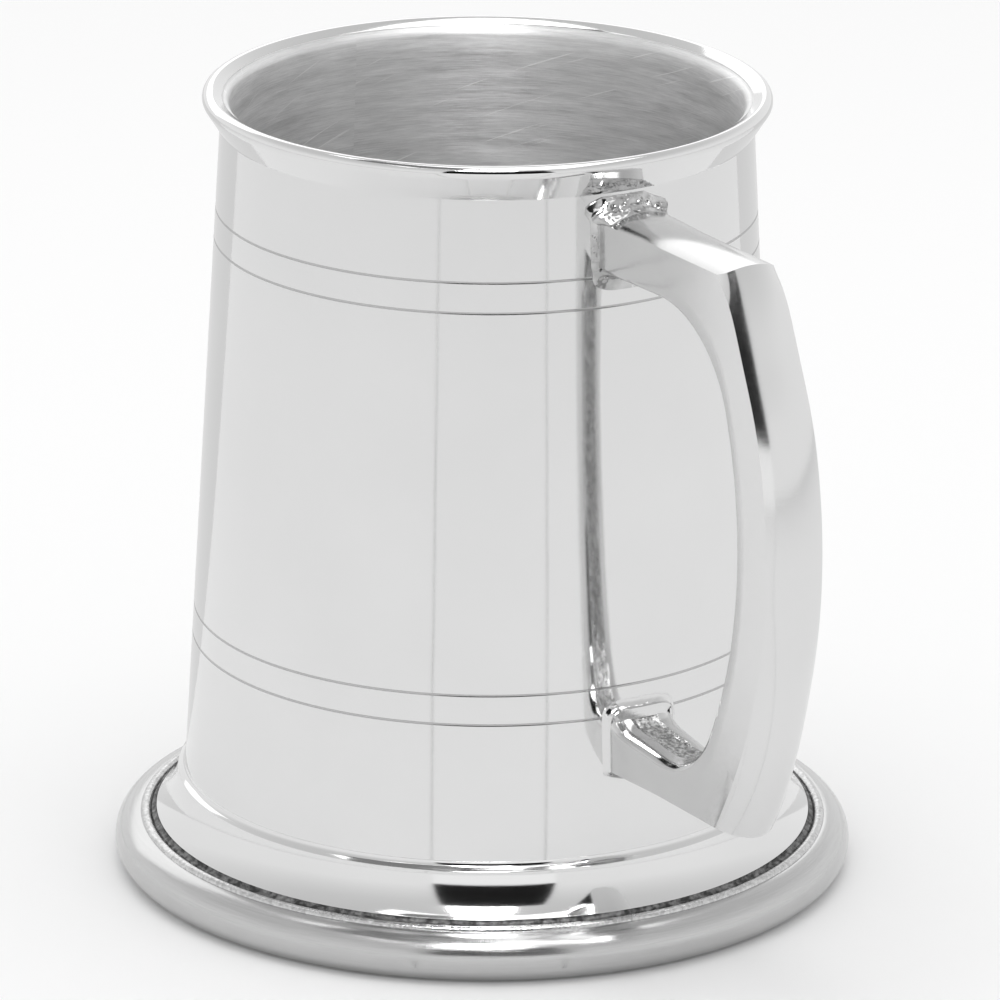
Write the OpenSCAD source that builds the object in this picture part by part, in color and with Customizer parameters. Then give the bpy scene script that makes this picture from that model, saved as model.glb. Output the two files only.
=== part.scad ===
// Pewter tankard of one imperial pint, a tapered drum on a moulded foot, with one strap handle.
// The origin is the middle of the foot on the surface that it stands on, +Z is up and +X runs out
// along the handle. Units are millimetres.

/* [Drum] */
// Outer radius that the tapered wall would have at the standing surface
drum_base_r = 45.75; // [45.25:0.05:45.9]
// Radius that the wall loses for each millimetre of height
drum_slope = 0.0553; // [0.053:0.0005:0.058]
// Thickness of the wall
wall_t = 1.4; // [1.2:0.1:1.6]
// Depth of the four fine lines turned into the wall
line_depth = 0.12; // [0.06:0.02:0.24]
// Thickness of the round floor
floor_t = 1.4; // [1.2:0.1:1.8]

/* [Rim] */
// Overall height, to the top of the lip
total_h = 120; // [120:0.5:126]
// How far the lip's outside stands out from the wall below it
lip_flare = 2.6; // [2:0.1:3]
// Radius of the lip's rounded outer edge
lip_round_r = 1.15; // [1:0.05:1.3]

/* [Foot] */
// Radius of the round tube around the base
base_tube_r = 3.65; // [3.4:0.05:3.8]
// Radius from the axis to the middle of that tube
base_ring_r = 51.85; // [51.7:0.05:52.5]
// Radius of the skirt's hollow curve
cove_r = 10.3; // [9.5:0.1:12]

/* [Handle] */
// Width of the strap between its flat sides
handle_w = 9.5; // [8.5:0.25:10]
// How far the strap's outer face is crowned at its middle
outer_crown = 1.5; // [1:0.1:2]
// How far the top arm's upper face is crowned at its middle
top_crown = 1.2; // [0.8:0.1:1.6]
// Thickness of the grip, from the finger opening to the edge of the outer face
grip_t = 8.7; // [8:0.1:10]

/* [Solder] */
// How far the upper joint's solder reaches past the strap on each side
upper_solder_reach = 1.8; // [1.2:0.1:2.6]
// How far the lower joint's solder reaches past the strap on each side
lower_solder_reach = 1.4; // [1:0.1:2.2]

/* [Hidden] */
$fn = 96;
// Surfaces that are cut away overlap by this much
cut = 1;

// Heights of the joints between the pieces
foot_z = 8;
lip_z = total_h - 5.5;
spigot_h = 1;
floor_z = 10.2;
line_zs = [36.25, 40.7, 97.8, 102.3];
line_cut_r = 0.3;
solder_leg = 0.4;
fillet_leg = 0.9;

// Lip
lip_round_x = drum_r(lip_z) + lip_flare - lip_round_r;
lip_round_z = total_h - lip_round_r;
lip_inner_slope = 25;
lip_inner_x = drum_r(lip_z) - 0.3;

// Skirt: a ledge round the wall, a hollow curve, and a sharp lower edge
ledge_in_z = 15;
ledge_out_z = 14.3;
ledge_w = 1.15;
skirt_edge_h = 0.1;
skirt_edge_r = 49.3;

// Base ring: a round tube outside, and a flat web inside that carries the wall and the skirt
base_flat = 0.12;
web_z = 4.2;
web_in_r = 42.6;
channel_in_r = 49;
channel_out_r = 50.1;
channel_z = 7;
bead_r = 0.8;
bead_z = 7;

// Handle, as arcs in the plane through the axis
arm_top_z = 110.5;
arm_under_z = 102.5;
strap_foot_z = 28.1;
foot_crown = 1;
outer_c = [10, 69];
outer_r = 73.65;
grip_in_r = outer_r - grip_t - 0.95;
grip_in_c = outer_c + [0.9, 0.3];
upper_bend_r = 18;
lower_bend_r = 13.5;
lower_arm_rise = 6.5;
wall_fillet_x = 48;
wall_fillet_r = 5;
upper_bend_z = arm_under_z - upper_bend_r;
lower_bend_z = 47.5;
strap_far_x = 95;
strap_near_x = 30;
outer_crown_r = (pow(handle_w / 2, 2) + pow(outer_crown, 2)) / (2 * outer_crown);
top_crown_r = (pow(handle_w / 2, 2) + pow(top_crown, 2)) / (2 * top_crown);
foot_crown_r = (pow(handle_w / 2, 2) + pow(foot_crown, 2)) / (2 * foot_crown);

// Solder round the ends of the strap
upper_solder_z = [99.4, 113.6];
lower_solder_z = [25.8, 40.3];
solder_skin = 0.8;
solder_heap = 1.9;
solder_corner_r = 3;
wedge_l = 6.4;
wedge_top_z = 114.1;
wedge_end_z = 112.9;

// Outer radius of the wall at a height
function drum_r(z) = drum_base_r - drum_slope * z;

// Inner radius of the wall at a height
function drum_in_r(z) = drum_r(z) - wall_t;

// Points along an arc, from one angle to another
function arc(c, r, from, to, steps = 24) =
    [for (i = [0 : steps]) c + r * [cos(from + (to - from) * i / steps), sin(from + (to - from) * i / steps)]];

// Where a bend inside the opening touches the grip's inner arc: the bend's centre lies on this circle
function bend_x(bend_r, z) = grip_in_c.x + sqrt(pow(grip_in_r - bend_r, 2) - pow(z - grip_in_c.y, 2));

// Direction from the grip arc's centre to a point
function grip_angle(p) = atan2(p.y - grip_in_c.y, p.x - grip_in_c.x);

// The full cone of the wall's outside, grown by a little
module wall_cone(z0, z1, grow = 0) {
    translate([0, 0, z0])
        cylinder(h = z1 - z0, r1 = drum_r(z0) + grow, r2 = drum_r(z1) + grow);
}

module drum() {
    top_z = lip_z + spigot_h;
    spigot_r = drum_r(lip_z) - wall_t / 2;
    color("silver")
        rotate_extrude()
            difference() {
                polygon([[drum_r(foot_z), foot_z], [drum_r(lip_z), lip_z], [spigot_r, lip_z],
                    [spigot_r, top_z], [drum_in_r(top_z) + solder_leg, top_z],
                    [drum_in_r(top_z - solder_leg), top_z - solder_leg], [drum_in_r(foot_z), foot_z]]);
                for (z = line_zs)
                    translate([drum_r(z) + line_cut_r - line_depth, z])
                        circle(r = line_cut_r);
            }
}

// The lip is pushed over the drum's spigot, and flares out to a rounded edge
module lip_band() {
    seat_z = lip_z + spigot_h;
    spigot_r = drum_r(lip_z) - wall_t / 2;
    crease = [drum_r(lip_z), lip_z];
    to_round = [lip_round_x, lip_round_z] - crease;
    flare_angle = atan2(to_round.y, to_round.x) - asin(lip_round_r / norm(to_round));
    slope_drop = lip_round_x - lip_inner_x;
    inner_z = lip_round_z + (lip_round_r - slope_drop * sin(lip_inner_slope)) / cos(lip_inner_slope);
    color("silver")
        rotate_extrude()
            polygon(concat([crease],
                arc([lip_round_x, lip_round_z], lip_round_r, flare_angle - 90, 90 + lip_inner_slope),
                [[lip_inner_x, inner_z], [drum_in_r(seat_z), seat_z + solder_leg],
                    [drum_in_r(seat_z) + solder_leg, seat_z], [spigot_r, seat_z], [spigot_r, lip_z]]));
}

module floor_disc() {
    top_z = floor_z + floor_t;
    color("gainsboro")
        rotate_extrude()
            polygon([[0, floor_z], [drum_in_r(floor_z), floor_z], [drum_in_r(top_z), top_z], [0, top_z]]);
}

module foot_skirt() {
    top = [drum_r(ledge_out_z) + ledge_w, ledge_out_z];
    bottom = [skirt_edge_r, foot_z + skirt_edge_h];
    chord = bottom - top;
    chord_angle = atan2(chord.y, chord.x);
    half_turn = asin(norm(chord) / (2 * cove_r));
    cove_c = top + cove_r * [cos(chord_angle + 90 - half_turn), sin(chord_angle + 90 - half_turn)];
    top_angle = chord_angle - 90 - half_turn;
    color("silver")
        rotate_extrude()
            polygon(concat([[drum_r(foot_z), foot_z], [drum_r(ledge_in_z), ledge_in_z]],
                arc(cove_c, cove_r, top_angle, top_angle + 2 * half_turn),
                [[skirt_edge_r, foot_z]]));
}

module base_ring() {
    color("lightgray")
        rotate_extrude()
            difference() {
                union() {
                    translate([base_ring_r, base_tube_r - base_flat])
                        circle(r = base_tube_r);
                    translate([web_in_r, web_z])
                        square([channel_out_r + bead_r - web_in_r, channel_z - web_z]);
                    translate([web_in_r, web_z])
                        square([channel_in_r - web_in_r, foot_z - web_z]);
                    translate([channel_out_r + bead_r, bead_z])
                        circle(r = bead_r);
                }
                translate([web_in_r, -cut])
                    square([3 * base_tube_r + channel_out_r - web_in_r, cut]);
            }
}

// The finger opening, closed on the drum's side by the cope of the strap's ends
module strap_opening() {
    upper_bend = [bend_x(upper_bend_r, upper_bend_z), upper_bend_z];
    lower_bend = [bend_x(lower_bend_r, lower_bend_z), lower_bend_z];
    lower_end = lower_bend + lower_bend_r * [cos(-90 - lower_arm_rise), sin(-90 - lower_arm_rise)];
    lower_run = lower_end.x - wall_fillet_x;
    fillet_c = [wall_fillet_x, lower_end.y + lower_run * tan(lower_arm_rise) + wall_fillet_r];
    polygon(concat([[strap_near_x - cut, arm_under_z]],
        arc(upper_bend, upper_bend_r, 90, grip_angle(upper_bend)),
        arc(grip_in_c, grip_in_r, grip_angle(upper_bend), grip_angle(lower_bend)),
        arc(lower_bend, lower_bend_r, grip_angle(lower_bend), -90 - lower_arm_rise),
        arc(fillet_c, wall_fillet_r, -90 - lower_arm_rise, -158)));
}

module strap_side() {
    rotate([90, 0, 0])
        linear_extrude(height = handle_w, center = true)
            difference() {
                translate([strap_near_x, strap_foot_z - foot_crown])
                    square([strap_far_x - strap_near_x, total_h - strap_foot_z]);
                strap_opening();
            }
}

// A wheel whose crowned rim is the strap's outer face
module strap_outside() {
    translate([outer_c.x, 0, outer_c.y])
        rotate([90, 0, 0])
            rotate_extrude()
                union() {
                    translate([0, -handle_w / 2 - cut])
                        square([outer_r + outer_crown - outer_crown_r, handle_w + 2 * cut]);
                    intersection() {
                        translate([outer_r + outer_crown - outer_crown_r, 0])
                            circle(r = outer_crown_r);
                        translate([0, -outer_crown_r])
                            square([outer_r + outer_crown + cut, 2 * outer_crown_r]);
                    }
                }
}

// A long bar whose crowned top is the upper face of the arm
module strap_top() {
    crown_z = arm_top_z + top_crown - top_crown_r;
    translate([strap_near_x, 0, crown_z])
        rotate([0, 90, 0])
            cylinder(h = strap_far_x - strap_near_x, r = top_crown_r);
    translate([strap_near_x, -handle_w / 2 - cut, 0])
        cube([strap_far_x - strap_near_x, handle_w + 2 * cut, crown_z]);
}

// The same below: a long bar whose crowned bottom is the underside of the lower arm
module strap_underside() {
    crown_z = strap_foot_z - foot_crown + foot_crown_r;
    translate([strap_near_x, 0, crown_z])
        rotate([0, 90, 0])
            cylinder(h = strap_far_x - strap_near_x, r = foot_crown_r);
    translate([strap_near_x, -handle_w / 2 - cut, crown_z])
        cube([strap_far_x - strap_near_x, handle_w + 2 * cut, total_h]);
}

module strap_body() {
    intersection() {
        strap_side();
        strap_outside();
        strap_top();
        strap_underside();
    }
}

module handle() {
    color("silver")
        difference() {
            strap_body();
            wall_cone(strap_foot_z - 2 * cut, total_h);
        }
}

// A patch of solder on the wall, with rounded corners, between two heights
module solder_patch(half_w, z0, z1, thick) {
    intersection() {
        difference() {
            wall_cone(z0 - cut, z1 + cut, thick);
            wall_cone(z0 - 2 * cut, z1 + 2 * cut);
        }
        translate([strap_near_x, 0, 0])
            rotate([90, 0, 90])
                linear_extrude(height = drum_base_r)
                    union() {
                        translate([-half_w, z0 + solder_corner_r])
                            square([2 * half_w, z1 - z0 - 2 * solder_corner_r]);
                        translate([-half_w + solder_corner_r, z0])
                            square([2 * (half_w - solder_corner_r), z1 - z0]);
                        for (y = [solder_corner_r - half_w, half_w - solder_corner_r], z = [z0, z1])
                            translate([y, z + (z == z0 ? solder_corner_r : -solder_corner_r)])
                                circle(r = solder_corner_r);
                    }
    }
}

module upper_joint_solder() {
    half_w = handle_w / 2 + upper_solder_reach;
    color("darkgray")
        difference() {
            union() {
                solder_patch(half_w, upper_solder_z[0], upper_solder_z[1], solder_skin);
                solder_patch(half_w - 1, upper_solder_z[0] + 1, upper_solder_z[1], solder_heap);
                rotate([90, 0, 0])
                    linear_extrude(height = handle_w - 2, center = true)
                        polygon([[strap_near_x, arm_top_z], [strap_near_x, wedge_top_z],
                            [drum_r(lip_z) + 1, wedge_top_z],
                            [drum_r(lip_z) + wedge_l, wedge_end_z], [drum_r(lip_z) + wedge_l, arm_top_z]]);
            }
            wall_cone(upper_solder_z[0] - 2 * cut, lip_z + cut);
            strap_body();
        }
}

module lower_joint_solder() {
    half_w = handle_w / 2 + lower_solder_reach;
    color("darkgray")
        difference() {
            union() {
                solder_patch(half_w, lower_solder_z[0], lower_solder_z[1], solder_skin);
                solder_patch(half_w - 0.6, lower_solder_z[0] + 0.6, lower_solder_z[1] - 0.6, solder_heap);
            }
            strap_body();
        }
}

module lip_seam_solder() {
    seat_z = lip_z + spigot_h;
    color("darkgray")
        rotate_extrude()
            polygon([[drum_in_r(seat_z - solder_leg), seat_z - solder_leg],
                [drum_in_r(seat_z) + solder_leg, seat_z], [drum_in_r(seat_z), seat_z + solder_leg]]);
}

// A hollow fillet under the floor, against the inside of the wall
module floor_seam_solder() {
    low_z = floor_z - fillet_leg;
    color("darkgray")
        rotate_extrude()
            polygon(concat([[drum_in_r(low_z), low_z], [drum_in_r(floor_z), floor_z]],
                arc([drum_in_r(low_z) - fillet_leg, low_z], fillet_leg, 90, 0, 8)));
}

// Solder in the channel between the skirt's lower edge and the bead of the base ring
module skirt_seam_solder() {
    hollow_r = 0.7;
    color("dimgray")
        rotate_extrude()
            polygon(concat([[channel_in_r, channel_z], [channel_in_r, foot_z], [skirt_edge_r, foot_z]],
                arc([skirt_edge_r + hollow_r + 0.05, foot_z + 0.2], hollow_r, 190, 262, 8),
                [[channel_out_r, channel_z + 0.25], [channel_out_r, channel_z]]));
}

// A hollow fillet inside the foot, where the wall stands on the web
module base_seam_solder() {
    high_z = foot_z + fillet_leg;
    color("darkgray")
        rotate_extrude()
            polygon(concat([[drum_in_r(high_z), high_z], [drum_in_r(foot_z), foot_z]],
                arc([drum_in_r(high_z) - fillet_leg, high_z], fillet_leg, -90, 0, 8)));
}

drum();
lip_band();
floor_disc();
foot_skirt();
base_ring();
handle();
upper_joint_solder();
lower_joint_solder();
lip_seam_solder();
floor_seam_solder();
skirt_seam_solder();
base_seam_solder();
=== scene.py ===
import math

import bmesh
import bpy
from mathutils import Matrix, Vector, noise


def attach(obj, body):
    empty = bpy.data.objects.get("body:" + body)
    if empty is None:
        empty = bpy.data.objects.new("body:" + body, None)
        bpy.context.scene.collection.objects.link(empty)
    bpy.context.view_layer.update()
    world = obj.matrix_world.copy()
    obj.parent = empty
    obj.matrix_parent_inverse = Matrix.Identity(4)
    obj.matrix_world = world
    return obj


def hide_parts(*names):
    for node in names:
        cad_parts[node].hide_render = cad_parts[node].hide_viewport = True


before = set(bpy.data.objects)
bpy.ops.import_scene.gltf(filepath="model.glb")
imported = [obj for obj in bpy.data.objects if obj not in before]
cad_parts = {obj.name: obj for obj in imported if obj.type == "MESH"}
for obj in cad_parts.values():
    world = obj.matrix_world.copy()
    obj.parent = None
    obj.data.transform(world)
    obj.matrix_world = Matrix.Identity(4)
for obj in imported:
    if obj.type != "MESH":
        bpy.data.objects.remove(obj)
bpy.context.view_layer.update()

# Lengths below are in millimetres, as in the part's source, and MM turns them into metres.
MM = 0.001
BODY = "root"

# The drum: a tapered wall with fine turned lines
DRUM_BASE_R = 45.75
DRUM_SLOPE = 0.0553
WALL_T = 1.4
FOOT_Z = 8.0
LIP_Z = 114.5
TOP_Z = 120.0
SPIGOT_H = 1.0
LINE_ZS = (36.25, 40.7, 97.8, 102.3)
LINE_HALF_W = 0.2
LINE_DEPTH = 0.065
FLOOR_LOW_Z = 10.2
FLOOR_TOP_Z = 11.6
LIP_FLARE = 2.6
LIP_ROUND_R = 1.15
SOLDER_LEG = 0.4
FILLET_LEG = 0.9

# The foot
LEDGE_OUT = (46.0, 14.3)
COVE_R = 10.3
SKIRT_EDGE_R = 49.3
TUBE_R = 3.65
RING_R = 51.85
TUBE_Z = 3.53
WEB_IN_R = 42.6
WEB_Z = 4.2
CHANNEL_IN_R = 49.0
CHANNEL_OUT_R = 50.1
CHANNEL_Z = 7.0
BEAD_R = 0.8
BEAD_Z = 7.0

# The handle, in the plane through the drum's axis
STRAP_HALF_W = 4.75
ARM_TOP_Z = 110.5
ARM_UNDER_Z = 102.5
STRAP_FOOT_Z = 28.1
OUTER_C = (10.0, 69.0)
OUTER_R = 73.65
OUTER_CROWN = 1.5
TOP_CROWN = 1.2
FOOT_CROWN = 1.0
GRIP_C = (10.9, 69.3)
GRIP_R = 64.0
UPPER_BEND_R = 18.0
LOWER_BEND_R = 13.5
UPPER_BEND_C = (54.35, 84.5)
LOWER_BEND_C = (56.45, 47.5)
LOWER_RISE = math.radians(6.5)
WALL_FILLET_X = 48.0
WALL_FILLET_R = 5.0
SHOULDER_W = 2.7
SHOULDER_D = 1.6
SINK = 0.35
# The two ends of the strap widen a little where they meet the wall
FLARE = 0.6

SEGMENTS = 384
SHARP = math.radians(20)


def drum_r(z):
    """Outer radius of the wall at a height."""
    return DRUM_BASE_R - DRUM_SLOPE * z


def drum_in_r(z):
    return drum_r(z) - WALL_T


def wall_x(y, z):
    """How far out the wall's outside is, at a height and a distance to the side."""
    return math.sqrt(drum_r(z) ** 2 - y * y)


def lerp(a, b, t):
    return a + (b - a) * t


def smooth(t):
    t = min(1.0, max(0.0, t))
    return t * t * (3 - 2 * t)


# ---------------------------------------------------------------- outlines

def arc(c, r, start, end, steps):
    """Points along an arc, with angles in degrees."""
    turn = [math.radians(lerp(start, end, i / steps)) for i in range(steps + 1)]
    return [(c[0] + r * math.cos(a), c[1] + r * math.sin(a)) for a in turn]


def curve(a, b, c, steps=8):
    """A smooth bend from a to c that leaves towards b and arrives from it."""
    bend = []
    for i in range(steps + 1):
        t = i / steps
        bend.append(tuple((1 - t) ** 2 * p + 2 * t * (1 - t) * q + t * t * r for p, q, r in zip(a, b, c)))
    return bend


def eased(outline, radius, steps=5):
    """The closed outline with each sharp corner rounded, as polishing leaves it."""
    out = []
    n = len(outline)
    for i, p in enumerate(outline):
        before = Vector(outline[i - 1]) - Vector(p)
        after = Vector(outline[(i + 1) % n]) - Vector(p)
        bend = math.pi - before.angle(after)
        reach = min(radius * math.tan(bend / 2), before.length * 0.4, after.length * 0.4)
        if bend < SHARP or reach < 0.005:
            out.append(tuple(p))
            continue
        start = Vector(p) + before.normalized() * reach
        end = Vector(p) + after.normalized() * reach
        out.extend(curve(start, p, end, steps))
    return out


# ---------------------------------------------------------------- meshes

def piece(name, verts, faces, materials, nodes, face_material=None, sharp=SHARP):
    """A closed mesh that rides on the tankard and stands for CAD nodes."""
    mesh = bpy.data.meshes.new(name)
    mesh.from_pydata([Vector(v) * MM for v in verts], [], faces)
    for m in materials:
        mesh.materials.append(m)
    if face_material:
        for polygon in mesh.polygons:
            polygon.material_index = face_material[polygon.index]
    work = bmesh.new()
    work.from_mesh(mesh)
    bmesh.ops.recalc_face_normals(work, faces=work.faces)
    work.to_mesh(mesh)
    work.free()
    mesh.shade_smooth()
    mesh.set_sharp_from_angle(angle=sharp)
    obj = bpy.data.objects.new(name, mesh)
    bpy.context.scene.collection.objects.link(obj)
    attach(obj, BODY)
    if nodes:
        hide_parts(*nodes)
    return obj


def lathe(name, outline, materials, node, pick=None, segments=SEGMENTS):
    """Turns a closed outline of (radius, height) round the axis. pick says which material an edge gets."""
    verts = []
    rows = []
    for r, z in outline:
        if r < 1e-6:
            rows.append([len(verts)] * segments)
            verts.append((0, 0, z))
            continue
        row = []
        for i in range(segments):
            a = 2 * math.pi * i / segments
            row.append(len(verts))
            verts.append((r * math.cos(a), r * math.sin(a), z))
        rows.append(row)
    faces = []
    kinds = []
    for j in range(len(outline)):
        k = (j + 1) % len(outline)
        if outline[j][0] < 1e-6 and outline[k][0] < 1e-6:
            continue
        kind = pick(outline[j], outline[k]) if pick else 0
        for i in range(segments):
            n = (i + 1) % segments
            corners = []
            for v in (rows[j][i], rows[j][n], rows[k][n], rows[k][i]):
                if v not in corners:
                    corners.append(v)
            faces.append(corners)
            kinds.append(kind)
    return piece(name, verts, faces, materials, [node], kinds)


# ---------------------------------------------------------------- materials

def shade(color, factor):
    """The colour made darker or lighter."""
    return tuple(c * factor for c in color)


class Shader:
    """A short way to write a node tree round one Principled shader."""

    def __init__(self, name, color, roughness, metallic=1.0):
        self.material = bpy.data.materials.new(name)
        self.material.use_nodes = True
        self.tree = self.material.node_tree
        self.bsdf = self.tree.nodes["Principled BSDF"]
        self.set("Base Color", (*color, 1))
        self.set("Roughness", roughness)
        self.set("Metallic", metallic)
        self.height = None
        coords = self.node("ShaderNodeTexCoord")
        self.place = coords.outputs["Object"]

    def node(self, kind, **settings):
        made = self.tree.nodes.new(kind)
        for key, value in settings.items():
            setattr(made, key, value)
        return made

    def set(self, socket, value):
        self.bsdf.inputs[socket].default_value = value

    def link(self, a, b):
        self.tree.links.new(a, b)

    def math(self, operation, a, b=None, clamp=False):
        made = self.node("ShaderNodeMath", operation=operation, use_clamp=clamp)
        for i, value in enumerate((a, b)):
            if value is None:
                continue
            if isinstance(value, (int, float)):
                made.inputs[i].default_value = value
            else:
                self.link(value, made.inputs[i])
        return made.outputs[0]

    def ranged(self, value, low, high, to_low, to_high):
        made = self.node("ShaderNodeMapRange")
        self.link(value, made.inputs["Value"])
        for key, number in (("From Min", low), ("From Max", high), ("To Min", to_low), ("To Max", to_high)):
            made.inputs[key].default_value = number
        return made.outputs["Result"]

    def mix(self, factor, a, b):
        made = self.node("ShaderNodeMix", data_type="RGBA")
        self.link(factor, made.inputs["Factor"])
        for key, value in ((6, a), (7, b)):
            if isinstance(value, tuple):
                made.inputs[key].default_value = (*value, 1)
            else:
                self.link(value, made.inputs[key])
        return made.outputs[2]

    def noise(self, scale, detail=3.0, rough=0.55, vector=None, stretch=None):
        vector = vector or self.place
        if stretch:
            mapping = self.node("ShaderNodeMapping")
            mapping.inputs["Scale"].default_value = stretch
            self.link(vector, mapping.inputs["Vector"])
            vector = mapping.outputs["Vector"]
        made = self.node("ShaderNodeTexNoise")
        made.inputs["Scale"].default_value = scale
        made.inputs["Detail"].default_value = detail
        made.inputs["Roughness"].default_value = rough
        self.link(vector, made.inputs["Vector"])
        return made.outputs["Fac"]

    def round_axis(self, along, across, turn=0.0):
        """Coordinates that run round the axis and up it, so a pattern follows the turning marks."""
        split = self.node("ShaderNodeSeparateXYZ")
        self.link(self.place, split.inputs[0])
        x, y, z = split.outputs
        angle = self.math("ARCTAN2", y, x)
        radius = self.math("SQRT", self.math("ADD", self.math("MULTIPLY", x, x), self.math("MULTIPLY", y, y)))
        joined = self.node("ShaderNodeCombineXYZ")
        tilted = self.math("ADD", self.math("MULTIPLY", angle, along), self.math("MULTIPLY", z, turn))
        self.link(tilted, joined.inputs[0])
        self.link(self.math("MULTIPLY", z, across), joined.inputs[1])
        self.link(self.math("MULTIPLY", radius, across), joined.inputs[2])
        return joined.outputs[0]

    def bump(self, height, distance, strength=1.0):
        """Adds a layer of bump, on top of the ones before it."""
        made = self.node("ShaderNodeBump")
        made.inputs["Strength"].default_value = strength
        made.inputs["Distance"].default_value = distance
        self.link(height, made.inputs["Height"])
        if self.height:
            self.link(self.height, made.inputs["Normal"])
        self.height = made.outputs["Normal"]
        self.link(self.height, self.bsdf.inputs["Normal"])


def polished_pewter(name, color=(0.74, 0.74, 0.74), roughness=0.06, wave=0.00002):
    """Mirror polish: faint waves of hand buffing, hairline wiping marks and soft smudges."""
    s = Shader(name, color, roughness)
    smudge = s.noise(38, 4)
    hair = s.noise(1, 5, 0.7, s.round_axis(14, 2600, 900))
    marks = s.math("ADD", smudge, s.math("MULTIPLY", hair, 0.5))
    s.link(s.ranged(marks, 0.55, 1.0, roughness * 0.7, roughness * 1.6), s.bsdf.inputs["Roughness"])
    s.link(s.mix(s.ranged(smudge, 0.35, 0.7, 0, 1), shade(color, 0.97), color), s.bsdf.inputs["Base Color"])
    s.bump(s.noise(26, 2), wave * 12, 0.35)
    s.bump(hair, wave * 0.25, 0.5)
    return s.material


def brushed_pewter(name, color=(0.81, 0.81, 0.81), roughness=0.45):
    """Satin inside: fine lines brushed round the axis, with longer strokes and slanting scratches."""
    s = Shader(name, color, roughness)
    fine = s.noise(1, 6, 0.75, s.round_axis(9, 5200))
    strokes = s.noise(1, 3, 0.6, s.round_axis(3.2, 700, 60))
    slant = s.noise(1, 2, 0.5, s.round_axis(30, 160, 2100))
    marks = s.math("ADD", s.math("MULTIPLY", fine, 0.6), s.math("MULTIPLY", strokes, 0.4))
    s.link(s.ranged(marks, 0.3, 0.7, roughness * 0.7, roughness * 1.35), s.bsdf.inputs["Roughness"])
    scratch = s.ranged(slant, 0.66, 0.72, 0, 1)
    tone = s.mix(s.ranged(marks, 0.35, 0.65, 0, 1), shade(color, 0.8), shade(color, 1.15))
    s.link(s.mix(scratch, tone, (0.95, 0.95, 0.95)), s.bsdf.inputs["Base Color"])
    s.set("Metallic", 0.88)
    s.set("Anisotropic", 0.8)
    s.set("Anisotropic Rotation", 0.25)
    tangent = s.node("ShaderNodeTangent", direction_type="RADIAL", axis="Z")
    s.link(tangent.outputs[0], s.bsdf.inputs["Tangent"])
    s.bump(fine, 0.00004, 0.6)
    s.bump(scratch, 0.00003, 0.5)
    return s.material


def turned_pewter(name, color=(0.56, 0.56, 0.56), roughness=0.17):
    """Bright turned surface: fine lines run round the axis, soft marks of wear cross them."""
    s = Shader(name, color, roughness)
    fine = s.noise(1, 5, 0.7, s.round_axis(7, 4200))
    wear = s.noise(55, 5, 0.6)
    marks = s.math("ADD", fine, wear)
    s.link(s.ranged(marks, 0.7, 1.3, roughness * 0.6, roughness * 1.6), s.bsdf.inputs["Roughness"])
    s.link(s.mix(s.ranged(fine, 0.35, 0.65, 0, 1), shade(color, 0.92), color), s.bsdf.inputs["Base Color"])
    s.set("Anisotropic", 0.45)
    s.set("Anisotropic Rotation", 0.25)
    tangent = s.node("ShaderNodeTangent", direction_type="RADIAL", axis="Z")
    s.link(tangent.outputs[0], s.bsdf.inputs["Tangent"])
    s.bump(fine, 0.00002, 0.5)
    s.bump(wear, 0.00006, 0.3)
    return s.material


def cast_pewter(name, color=(0.50, 0.50, 0.50), roughness=0.3, contrast=0.55):
    """As it left the mould: grainy and pitted, brighter where it has been rubbed."""
    s = Shader(name, color, roughness)
    grain = s.noise(1500, 4, 0.7)
    lumps = s.noise(520, 3, 0.6)
    tone = s.mix(s.ranged(grain, 0.4, 0.62, 0, 1), shade(color, 1 - contrast), shade(color, 1 + contrast))
    s.link(tone, s.bsdf.inputs["Base Color"])
    s.link(s.ranged(lumps, 0.35, 0.65, roughness * 0.6, roughness * 1.4), s.bsdf.inputs["Roughness"])
    s.bump(lumps, 0.0002, 0.6)
    s.bump(grain, 0.00008, 0.7)
    return s.material


def run_solder(name, color=(0.66, 0.66, 0.66), roughness=0.14):
    """Solder that ran and was wiped: bright, with small ripples and darker hollows."""
    s = Shader(name, color, roughness)
    ripples = s.noise(420, 3, 0.6)
    grime = s.noise(150, 4, 0.6)
    s.link(s.mix(s.ranged(grime, 0.4, 0.62, 0, 1), shade(color, 0.6), color), s.bsdf.inputs["Base Color"])
    s.link(s.ranged(ripples, 0.3, 0.7, roughness * 0.6, roughness * 1.7), s.bsdf.inputs["Roughness"])
    s.bump(ripples, 0.00015, 0.5)
    return s.material


def dull_solder(name, color=(0.13, 0.13, 0.13), roughness=0.5):
    """Oxidised solder in a channel that no buffing wheel reaches."""
    s = Shader(name, color, roughness)
    grain = s.noise(1500, 4, 0.7)
    patches = s.noise(1, 3, 0.6, s.round_axis(40, 900))
    tone = s.mix(s.ranged(patches, 0.4, 0.65, 0, 1), shade(color, 0.4), shade(color, 1.9))
    s.link(tone, s.bsdf.inputs["Base Color"])
    s.link(s.ranged(grain, 0.3, 0.7, roughness * 0.6, roughness * 1.3), s.bsdf.inputs["Roughness"])
    s.bump(grain, 0.0002, 0.7)
    return s.material


POLISHED = polished_pewter("polished_pewter")
HANDLE_POLISH = polished_pewter("handle_pewter", color=(0.72, 0.72, 0.72), roughness=0.14, wave=0.00003)
LINE = polished_pewter("line_pewter", color=(0.48, 0.48, 0.48), roughness=0.2)
BRUSHED = brushed_pewter("brushed_pewter")
TURNED = turned_pewter("turned_pewter")
CAST = cast_pewter("cast_pewter")
WORN = cast_pewter("worn_pewter", color=(0.58, 0.58, 0.58), roughness=0.2, contrast=0.16)
SOLDER = run_solder("run_solder")
DULL = dull_solder("dull_solder")


# ---------------------------------------------------------------- turned pieces

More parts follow.
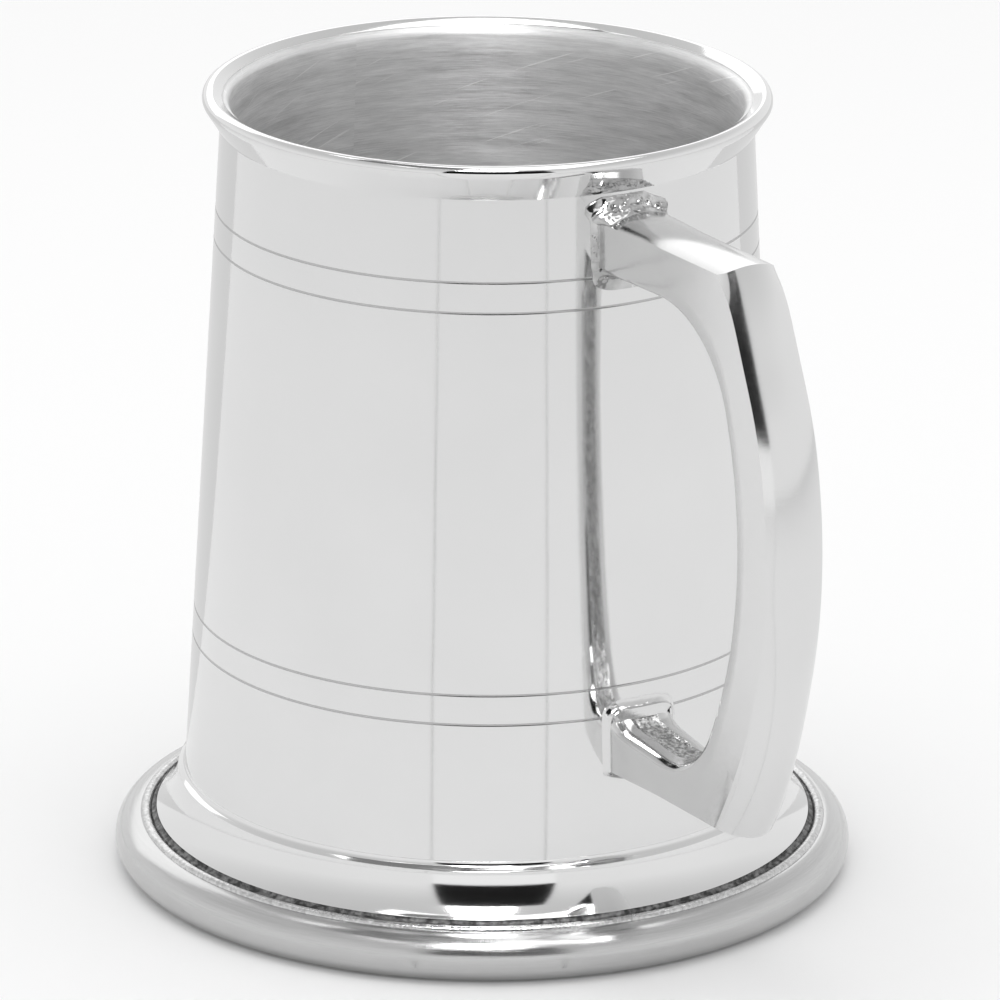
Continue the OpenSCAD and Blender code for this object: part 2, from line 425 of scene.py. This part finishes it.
def build_drum():
    seat_z = LIP_Z + SPIGOT_H
    spigot_r = drum_r(LIP_Z) - WALL_T / 2
    outline = [(drum_r(FOOT_Z), FOOT_Z)]
    for z in LINE_ZS:
        ease = 0.05
        outline.append((drum_r(z - LINE_HALF_W - ease), z - LINE_HALF_W - ease))
        for i in range(9):
            t = -1 + i / 4
            depth = LINE_DEPTH * math.cos(t * math.pi / 2)
            at = z + t * LINE_HALF_W
            outline.append((drum_r(at) - depth, at))
        outline.append((drum_r(z + LINE_HALF_W + ease), z + LINE_HALF_W + ease))
    outline += [(drum_r(LIP_Z), LIP_Z), (spigot_r, LIP_Z), (spigot_r, seat_z),
                (drum_in_r(seat_z) + SOLDER_LEG, seat_z),
                (drum_in_r(seat_z - SOLDER_LEG), seat_z - SOLDER_LEG),
                (drum_in_r(FOOT_Z), FOOT_Z)]

    def inside(a, b):
        if max(a[0] - drum_in_r(a[1]), b[0] - drum_in_r(b[1])) < WALL_T * 0.4:
            return 1
        in_line = min(a[0] - drum_r(a[1]), b[0] - drum_r(b[1])) < -0.01
        return 2 if in_line and max(a[1], b[1]) < LIP_Z else 0

    lathe("drum_wall", outline, [POLISHED, BRUSHED, LINE], "drum", inside)


def build_lip():
    seat_z = LIP_Z + SPIGOT_H
    spigot_r = drum_r(LIP_Z) - WALL_T / 2
    crease = (drum_r(LIP_Z), LIP_Z)
    round_r = LIP_ROUND_R
    round_c = (drum_r(LIP_Z) + LIP_FLARE - round_r, TOP_Z - round_r)
    to_round = Vector(round_c) - Vector(crease)
    flare = math.degrees(math.atan2(to_round.y, to_round.x) - math.asin(round_r / to_round.length))
    inner_edge_r = 39.1
    throat = (drum_in_r(seat_z), seat_z + SOLDER_LEG)
    outline = [crease]
    outline += arc(round_c, round_r, flare - 90, 115, 24)
    outline += curve((39.2, 119.27), (39.02, 119.18), (38.99, 118.98), 5)
    outline += curve((38.8, 118.8), (38.12, 118.6), (37.98, 117.8), 8)
    outline.append(throat)
    outline += [(throat[0] + SOLDER_LEG, seat_z), (spigot_r, seat_z), (spigot_r, LIP_Z)]

    def inside(a, b):
        return 1 if max(a[0], b[0]) < inner_edge_r and min(a[1], b[1]) > seat_z + 0.1 else 0

    lathe("lip", outline, [POLISHED, BRUSHED], "lip_band", inside)


def build_floor():
    edge = drum_in_r(FLOOR_TOP_Z)
    outline = [(0, FLOOR_LOW_Z), (drum_in_r(FLOOR_LOW_Z), FLOOR_LOW_Z), (edge, FLOOR_TOP_Z), (0, FLOOR_TOP_Z)]
    lathe("drum_floor", outline, [BRUSHED], "floor_disc")


def build_skirt():
    bottom = (SKIRT_EDGE_R, FOOT_Z + 0.1)
    chord = Vector(bottom) - Vector(LEDGE_OUT)
    heading = math.degrees(math.atan2(chord.y, chord.x))
    half = math.degrees(math.asin(chord.length / (2 * COVE_R)))
    towards = math.radians(heading + 90 - half)
    cove_c = (LEDGE_OUT[0] + COVE_R * math.cos(towards), LEDGE_OUT[1] + COVE_R * math.sin(towards))
    outline = [(drum_r(FOOT_Z), FOOT_Z), (drum_r(15.5), 15.5)]
    outline += curve((drum_r(15.5) + 0.03, 15.48), (45.0, 14.86), (45.5, 14.6), 8)
    outline += arc(cove_c, COVE_R, heading - 90 - half, heading - 90 + half, 28)
    outline += [(SKIRT_EDGE_R, FOOT_Z)]
    lathe("skirt", eased(outline, 0.3), [POLISHED], "foot_skirt")


def meet_angle(r, other_r, apart):
    """Where two circles cross: the angle at the first one's centre, from the line to the other's."""
    return math.degrees(math.acos((r ** 2 + apart ** 2 - other_r ** 2) / (2 * r * apart)))


def build_base_ring():
    centre = (RING_R, TUBE_Z)
    bead_c = (CHANNEL_OUT_R + BEAD_R, BEAD_Z)
    flat = math.degrees(math.acos(TUBE_Z / TUBE_R))
    web_meet = math.degrees(math.pi - math.asin((WEB_Z - TUBE_Z) / TUBE_R))
    apart = math.dist(centre, bead_c)
    towards = math.degrees(math.atan2(bead_c[1] - centre[1], bead_c[0] - centre[0]))
    crease = towards - meet_angle(TUBE_R, BEAD_R, apart)
    bead_from = towards - 180 + meet_angle(BEAD_R, TUBE_R, apart)
    outline = [(WEB_IN_R, WEB_Z), (RING_R + TUBE_R * math.cos(math.radians(web_meet)), WEB_Z)]
    outline += arc(centre, TUBE_R, web_meet, 270 - flat, 24)[1:]
    outline += arc(centre, TUBE_R, 270 + flat, 360 + crease, 40)
    outline += arc(bead_c, BEAD_R, bead_from, 180, 14)[1:]
    outline += [(CHANNEL_IN_R, CHANNEL_Z), (CHANNEL_IN_R, FOOT_Z), (WEB_IN_R, FOOT_Z)]

    def bead(a, b):
        on_bead = min(a[1], b[1]) > CHANNEL_Z - 0.01 and max(a[0], b[0]) < RING_R - 0.1
        return 1 if on_bead and a[0] > CHANNEL_IN_R else 0

    lathe("base", outline, [TURNED, WORN], "base_ring", bead)


def build_seam_solder():
    hollow = 0.7
    leg = FILLET_LEG
    channel = [(CHANNEL_IN_R, CHANNEL_Z), (CHANNEL_IN_R, FOOT_Z), (SKIRT_EDGE_R, FOOT_Z)]
    channel += arc((SKIRT_EDGE_R + hollow + 0.05, FOOT_Z + 0.2), hollow, 190, 262, 8)
    channel += [(CHANNEL_OUT_R, CHANNEL_Z + 0.25), (CHANNEL_OUT_R, CHANNEL_Z)]
    lathe("skirt_solder", channel, [DULL], "skirt_seam_solder")
    low = FLOOR_LOW_Z - leg
    under = [(drum_in_r(low), low), (drum_in_r(FLOOR_LOW_Z), FLOOR_LOW_Z)]
    under += arc((drum_in_r(low) - leg, low), leg, 90, 0, 8)[:-1]
    lathe("floor_solder", under, [SOLDER], "floor_seam_solder")
    high = FOOT_Z + leg
    inner = [(drum_in_r(high), high), (drum_in_r(FOOT_Z), FOOT_Z)]
    inner += arc((drum_in_r(high) - leg, high), leg, -90, 0, 8)[:-1]
    lathe("base_solder", inner, [SOLDER], "base_seam_solder")
    seat_z = LIP_Z + SPIGOT_H
    rim = [(drum_in_r(seat_z - SOLDER_LEG), seat_z - SOLDER_LEG), (drum_in_r(seat_z) + SOLDER_LEG, seat_z),
           (drum_in_r(seat_z), seat_z + SOLDER_LEG)]
    lathe("lip_solder", rim, [BRUSHED], "lip_seam_solder")


# ---------------------------------------------------------------- handle

def crown(y, rise):
    """How far a crowned face stands above its edges, at a distance from its middle."""
    r = (STRAP_HALF_W ** 2 + rise ** 2) / (2 * rise)
    return math.sqrt(max(0.0, r * r - y * y)) - (r - rise)


def outer_x(z, y):
    """The strap's outer face at a height and a distance to the side. It is crowned, more so towards the
    foot, a little flatter under the thumb corner, and that corner is eased at its two ends."""
    rise = lerp(4.2, 0.8 * OUTER_CROWN, smooth((z - 26) / 44))
    flatter = 0.55 * math.exp(-((z - 99) / 7) ** 2)
    flatter += 1.3 * (abs(y) / STRAP_HALF_W) ** 8 * math.exp(-((z - 111.5) / 3.2) ** 2)
    return OUTER_C[0] + math.sqrt((OUTER_R + crown(y, rise)) ** 2 - (z - OUTER_C[1]) ** 2) - flatter


def along(points, t):
    """The point at a share of a polyline's length."""
    steps = [math.dist(a, b) for a, b in zip(points, points[1:])]
    goal = t * sum(steps)
    for a, b, step in zip(points, points[1:], steps):
        if goal <= step:
            return (lerp(a[0], b[0], goal / step), lerp(a[1], b[1], goal / step))
        goal -= step
    return points[-1]


def inner_paths():
    """The edge of the finger opening, split where the strap turns its two corners."""
    join_up = math.degrees(math.atan2(UPPER_BEND_C[1] - GRIP_C[1], UPPER_BEND_C[0] - GRIP_C[0]))
    join_down = math.degrees(math.atan2(LOWER_BEND_C[1] - GRIP_C[1], LOWER_BEND_C[0] - GRIP_C[0]))
    top = [(wall_x(0, ARM_UNDER_Z) - SINK, ARM_UNDER_Z)] + arc(UPPER_BEND_C, UPPER_BEND_R, 90, 45, 24)
    grip = arc(UPPER_BEND_C, UPPER_BEND_R, 45, join_up, 16) + arc(GRIP_C, GRIP_R, join_up, join_down, 60)[1:]
    grip += arc(LOWER_BEND_C, LOWER_BEND_R, join_down, -42, 16)[1:]
    foot = arc(LOWER_BEND_C, LOWER_BEND_R, -42, -90 - math.degrees(LOWER_RISE), 24)
    fillet_z = foot[-1][1] + (foot[-1][0] - WALL_FILLET_X) * math.tan(LOWER_RISE) + WALL_FILLET_R
    foot += arc((WALL_FILLET_X, fillet_z), WALL_FILLET_R, -90 - math.degrees(LOWER_RISE), -158, 16)
    return top, grip, foot


def section_ys(steps):
    """Distances from the middle, closer together towards the edges of the crown."""
    return [STRAP_HALF_W * math.sin(math.pi / 2 * (2 * i / steps - 1)) for i in range(steps + 1)]


def build_handle():
    crown_ys = section_ys(28)
    paths = inner_paths()
    zone_stations = (34, 110, 40)
    shoulder_steps = 10
    band_steps = 16
    band_half = STRAP_HALF_W - SHOULDER_W

    def outer_point(zone, t, y):
        """A point of the top, outer or bottom face."""
        top = ARM_TOP_Z + crown(y, TOP_CROWN)
        foot = STRAP_FOOT_Z - crown(y, FOOT_CROWN)
        if zone == 0:
            return (lerp(wall_x(y, top) - SINK, outer_x(top, y), t), top)
        if zone == 1:
            z = lerp(top, foot, t)
            return (outer_x(z, y), z)
        return (lerp(outer_x(foot, y), wall_x(y, foot) - SINK, t), foot)

    verts = []
    rings = []
    kinds = []
    for zone, count in enumerate(zone_stations):
        path = paths[zone]
        for s in range(count + (1 if zone == 2 else 0)):
            t = s / count
            here = Vector(along(path, t))
            ahead = Vector(along(path, min(1, t + 0.004))) - Vector(along(path, max(0, t - 0.004)))
            into = Vector((-ahead.y, ahead.x)).normalized()
            mid = Vector(outer_point(zone, t, 0))
            if into.dot(mid - here) < 0:
                into = -into
            ring = []
            near_wall = (smooth(1 - t * 2), 0, smooth(t * 2 - 1))[zone]
            wider = 1 + near_wall * FLARE / STRAP_HALF_W

            def add(x, y, z):
                ring.append(len(verts))
                verts.append((x, y * wider, z))

            def wall_end(p, y):
                """The two ends follow the round of the wall."""
                if zone == 0:
                    return lerp(wall_x(y, p.y) - wall_x(0, p.y), 0, smooth(t * 3))
                if zone == 2:
                    return lerp(0, wall_x(y, p.y) - wall_x(0, p.y), smooth(t * 3 - 2))
                return 0

            def shoulder(side, i):
                a = math.pi / 2 * i / shoulder_steps
                y = side * (STRAP_HALF_W - SHOULDER_W * (1 - math.cos(a)))
                return y, here + into * SHOULDER_D * (1 - math.sin(a))

            for i in range(shoulder_steps + 1):
                y, p = shoulder(-1, i)
                add(p.x + wall_end(p, y), y, p.y)
            for i in range(1, band_steps):
                y = lerp(-band_half, band_half, i / band_steps)
                edge = smooth(min(i, band_steps - i) / 2.0)
                rough = noise.fractal(Vector((here.x, y, here.y)) * 1.6, 0.8, 2.1, 4)
                p = here + into * (0.2 * edge + 0.14 * edge * rough)
                add(p.x + wall_end(p, y), y, p.y)
            for i in range(shoulder_steps, -1, -1):
                y, p = shoulder(1, i)
                add(p.x + wall_end(p, y), y, p.y)
            inner_edge = here + into * SHOULDER_D
            outer_edge = Vector(outer_point(zone, t, STRAP_HALF_W))
            for i in range(1, 4):
                p = inner_edge.lerp(outer_edge, i / 4)
                add(p.x + wall_end(p, STRAP_HALF_W), STRAP_HALF_W, p.y)
            for y in reversed(crown_ys):
                x, z = outer_point(zone, t, y)
                add(x, y, z)
            for i in range(3, 0, -1):
                p = inner_edge.lerp(outer_edge, i / 4)
                add(p.x + wall_end(p, STRAP_HALF_W), -STRAP_HALF_W, p.y)
            rings.append(ring)
    faces = []
    size = len(rings[0])
    for a, b in zip(rings, rings[1:]):
        for i in range(size):
            j = (i + 1) % size
            faces.append((a[i], a[j], b[j], b[i]))
            kinds.append(1 if shoulder_steps <= i < shoulder_steps + band_steps else 0)
    for ring in (rings[0], rings[-1]):
        faces.append(tuple(ring))
        kinds.append(0)
    return piece("strap_handle", verts, faces, [HANDLE_POLISH, CAST], ["handle"], kinds,
                 sharp=math.radians(14))


# ---------------------------------------------------------------- solder round the strap's ends

def arm_outline(low_z, high_z, rise, steps=132):
    """Points round the arm where it meets the wall, with the outward direction at each."""
    half = STRAP_HALF_W + FLARE
    soft = SHOULDER_D
    loop = []
    for i in range(25):
        y = lerp(-half, half, i / 24)
        loop.append((y, high_z + crown(y * STRAP_HALF_W / half, rise)))
    loop += [(half, lerp(high_z, low_z + soft, i / 8)) for i in range(1, 9)]
    for a in range(15, 91, 15):
        turn = math.radians(a)
        loop.append((half - SHOULDER_W * (1 - math.cos(turn)), low_z + soft * (1 - math.sin(turn))))
    loop += [(-y, z) for y, z in reversed(loop[25:])]
    closed = loop + [loop[0]]
    points = [along(closed, i / steps) for i in range(steps)]
    result = []
    for i, p in enumerate(points):
        a = Vector(points[i - 3])
        b = Vector(points[(i + 3) % steps])
        run = (b - a).normalized()
        result.append((Vector(p), Vector((-run.y, run.x))))
    return result


def solder_ring(name, node, outline, reach, climb, bulge, lumps, sink, seed, lowest, highest, material):
    """Solder all round an arm. For a point of the outline and its direction, reach and climb say how far
    it goes along the wall and along the arm, bulge whether it is hollow (0) or a bead (1), lumps how
    uneven it is, and sink how deep it goes into the arm."""
    across = 14
    root = 0.3
    verts = []
    rings = []
    for p, out in outline:
        w = reach(p, out)
        h = climb(p, out)
        k = bulge(p, out)
        ring = []

        def add(a, b):
            y = p.x + out.x * a
            z = min(highest, max(lowest, p.y + out.y * a))
            ring.append(len(verts))
            verts.append((wall_x(y, z) + b, y, z))

        for i in range(across + 1):
            turn = math.pi / 2 * i / across
            hollow = Vector((w * (1 - math.sin(turn)), h * (1 - math.cos(turn))))
            bead = Vector((w * math.cos(turn), h * math.sin(turn)))
            q = hollow.lerp(bead, k)
            spot = Vector((q.y, p.x + out.x * q.x, p.y + out.y * q.x)) + Vector((seed, 0, 0))
            rough = noise.fractal(spot * 1.3, 0.7, 2.2, 4) * lumps(p, out) * math.sin(2 * turn)
            add(q.x + rough * 0.5, q.y + rough)
        add(-sink(p, out), h)
        add(-sink(p, out), -root)
        add(w, -root)
        rings.append(ring)
    faces = []
    for i, a in enumerate(rings):
        b = rings[(i + 1) % len(rings)]
        for j in range(len(a)):
            k = (j + 1) % len(a)
            faces.append((a[j], a[k], b[k], b[j]))
    return piece(name, verts, faces, [material], [node], sharp=math.radians(60))


def build_joint_solder():
    def top(p, out):
        return smooth((out.y - 0.25) / 0.5)

    def under(p, out):
        return smooth((-out.y - 0.4) / 0.5)

    solder_ring(
        "upper_solder", "upper_joint_solder", arm_outline(ARM_UNDER_Z, ARM_TOP_Z, TOP_CROWN),
        reach=lambda p, out: 1.2 + (1.9 - 1.1 * smooth(p.x / 4)) * top(p, out) + 1.2 * under(p, out),
        climb=lambda p, out: 0.5 + (2.6 - 0.16 * (p.x + STRAP_HALF_W)) * top(p, out) + 1.6 * under(p, out),
        bulge=lambda p, out: 0.9 - 0.55 * top(p, out) - 0.9 * under(p, out),
        lumps=lambda p, out: 0.15 + 0.45 * top(p, out),
        sink=lambda p, out: 0.3 + 0.5 * top(p, out) + 0.6 * under(p, out),
        seed=3.7, lowest=99.4, highest=114.1, material=SOLDER)
    solder_ring(
        "lower_solder", "lower_joint_solder", arm_outline_lower(),
        reach=lambda p, out: 0.9 + 0.4 * top(p, out), climb=lambda p, out: 0.6 + 0.6 * top(p, out),
        bulge=lambda p, out: 0.4 - 0.4 * top(p, out), lumps=lambda p, out: 0.03 + 0.05 * top(p, out),
        sink=lambda p, out: 0.3 + 1.3 * top(p, out),
        seed=9.1, lowest=25.9, highest=40.2, material=HANDLE_POLISH)


def arm_outline_lower():
    """The lower arm has its shoulders on top and a flat underside."""
    top_z = 37.4
    flipped = arm_outline(STRAP_FOOT_Z, top_z, FOOT_CROWN)
    middle = (STRAP_FOOT_Z + top_z) / 2
    return [(Vector((p.x, 2 * middle - p.y)), Vector((out.x, -out.y))) for p, out in flipped][::-1]


build_drum()
build_lip()
build_floor()
build_skirt()
build_base_ring()
build_seam_solder()
build_handle()
build_joint_solder()


# ---------------------------------------------------------------- stage, lights and camera

CAM_AZ = math.radians(-31.5)
CAM_EL = math.radians(18.5)
CAM_DIST = 1.2426
CAM_LOOK_Z = 0.0562
CAM_PAN = math.radians(0.112)
CAM_ROLL = math.radians(0.45)
CAM_LENS = 299.1


def build_camera():
    data = bpy.data.cameras.new("camera")
    data.lens = CAM_LENS
    data.sensor_width = 36
    data.clip_end = 20
    obj = bpy.data.objects.new("camera", data)
    bpy.context.scene.collection.objects.link(obj)
    back = Vector((math.cos(CAM_AZ), math.sin(CAM_AZ), 0))
    spot = back * CAM_DIST * math.cos(CAM_EL) + Vector((0, 0, CAM_LOOK_Z + CAM_DIST * math.sin(CAM_EL)))
    heading = CAM_AZ + math.pi - CAM_PAN
    level = math.cos(CAM_EL)
    look = Vector((math.cos(heading) * level, math.sin(heading) * level, -math.sin(CAM_EL)))
    right = look.cross(Vector((0, 0, 1))).normalized()
    up = right.cross(look)
    roll_cos = math.cos(CAM_ROLL)
    roll_sin = math.sin(CAM_ROLL)
    right, up = right * roll_cos + up * roll_sin, up * roll_cos - right * roll_sin
    obj.matrix_world = Matrix.Translation(spot) @ Matrix((right, up, -look)).transposed().to_4x4()
    bpy.context.scene.camera = obj


def plain(name, color, roughness=0.9):
    m = bpy.data.materials.new(name)
    m.use_nodes = True
    bsdf = m.node_tree.nodes["Principled BSDF"]
    bsdf.inputs["Base Color"].default_value = (color, color, color, 1)
    bsdf.inputs["Roughness"].default_value = roughness
    bsdf.inputs["Specular IOR Level"].default_value = 0.0
    return m


def glowing(name, level):
    m = bpy.data.materials.new(name)
    m.use_nodes = True
    m.node_tree.nodes.clear()
    out = m.node_tree.nodes.new("ShaderNodeOutputMaterial")
    emit = m.node_tree.nodes.new("ShaderNodeEmission")
    emit.inputs["Color"].default_value = (level, level, level, 1)
    m.node_tree.links.new(emit.outputs[0], out.inputs[0])
    return m


def card(name, corners, material, only_reflected=True):
    """A flat sheet of the studio. The metal reflects it, and the camera doesn't see it."""
    mesh = bpy.data.meshes.new(name)
    mesh.from_pydata(corners, [], [tuple(range(len(corners)))])
    mesh.materials.append(material)
    obj = bpy.data.objects.new(name, mesh)
    bpy.context.scene.collection.objects.link(obj)
    if only_reflected:
        obj.visible_camera = False
        obj.visible_diffuse = False
        obj.visible_shadow = False
    return obj


def around(az, r, z):
    """A point at an azimuth counted from the camera's, at a distance from the axis."""
    a = CAM_AZ + math.radians(az)
    return (r * math.cos(a), r * math.sin(a), z)


def sheet(name, az_from, az_to, start, end, level):
    """A glowing card between two azimuths. start and end are its edges' distance from the axis and height."""
    corners = [around(az_from, *start), around(az_to, *start), around(az_to, *end), around(az_from, *end)]
    card(name, corners, glowing(name + "_glow", level))


def build_stage():
    """A table inside a white tent. Distances and heights are in metres, azimuths in degrees."""
    half = 3
    card("table_top", [(-half, -half, 0), (half, -half, 0), (half, half, 0), (-half, half, 0)],
         plain("pale_floor", 0.93), only_reflected=False)
    # The dark opening of the white tent that the camera looks through, and the bright sheet below it
    near = 0.9
    low = near * math.tan(math.radians(16))
    high = near * math.tan(math.radians(48))
    sheet("tent_opening", -17.2, 26.0, (near, low), (near, high), 0.01)
    sheet("front_sheet", -17.2, 26.0, (near, 0.03), (near, low - 0.02), 1.1)
    # Seams of the table's sheet, on each side of the opening. They lie just over the table.
    seam_z = 0.0004
    seam_half = 0.3
    foot_r = 0.057
    for name, az in (("seam_right", 24.8), ("seam_left", -19.6)):
        near_az = az * 0.53
        card(name, [around(near_az - seam_half, foot_r, seam_z), around(near_az + seam_half, foot_r, seam_z),
                    around(az + seam_half, 1.2, seam_z), around(az - seam_half, 1.2, seam_z)],
             glowing(name + "_grey", 0.66))
    # Behind the object the table's sheet is a little darker, and the tent's back is lit
    back_z = 0.0006
    for i, az in enumerate((130, 155, 180, 205)):
        sheet("back_sheet_%d" % i, az, az + 25, (0.06, back_z), (2.8, back_z), 0.8)
    sheet("back_light", 172, 222, (1.0, 0.3), (1.0, 0.85), 1.5)
    # A lamp above the opening lights the far side of the drum's inside
    sheet("front_lamp", -14, 14, (0.7, 0.85), (0.4, 1.2), 13.0)
    # A grey lamp housing overhead on the camera's left
    housing_z = 1.22
    for i, az in enumerate((-150, -95, -40)):
        sheet("housing_%d" % i, az, az + 55, (0.62, housing_z), (0.05, housing_z), 0.25)
    # A softbox over the tent lights the table and the inside of the drum
    card("softbox", [around(az, 0.8, 1.3) for az in (45, 135, 225, 315)], glowing("softbox_light", 2.2),
         only_reflected=False)


def build_world():
    world = bpy.data.worlds.new("studio")
    bpy.context.scene.world = world
    world.use_nodes = True
    tree = world.node_tree
    background = tree.nodes["Background"]
    coords = tree.nodes.new("ShaderNodeTexCoord")
    split = tree.nodes.new("ShaderNodeSeparateXYZ")
    ramp = tree.nodes.new("ShaderNodeValToRGB")
    shift = tree.nodes.new("ShaderNodeMapRange")
    shift.inputs["From Min"].default_value = -1
    tree.links.new(coords.outputs["Generated"], split.inputs[0])
    tree.links.new(split.outputs[2], shift.inputs["Value"])
    tree.links.new(shift.outputs["Result"], ramp.inputs["Fac"])
    tree.links.new(ramp.outputs["Color"], background.inputs["Color"])
    steps = ((0.0, 0.8), (0.5, 1.0), (0.66, 0.98), (0.85, 0.75), (1.0, 0.65))
    while len(ramp.color_ramp.elements) < len(steps):
        ramp.color_ramp.elements.new(0.5)
    for element, (at, level) in zip(ramp.color_ramp.elements, steps):
        element.position = at
        element.color = (level, level, level, 1)
    background.inputs["Strength"].default_value = 1.0


build_camera()
build_stage()
build_world()
bpy.context.scene.view_settings.view_transform = "Standard"
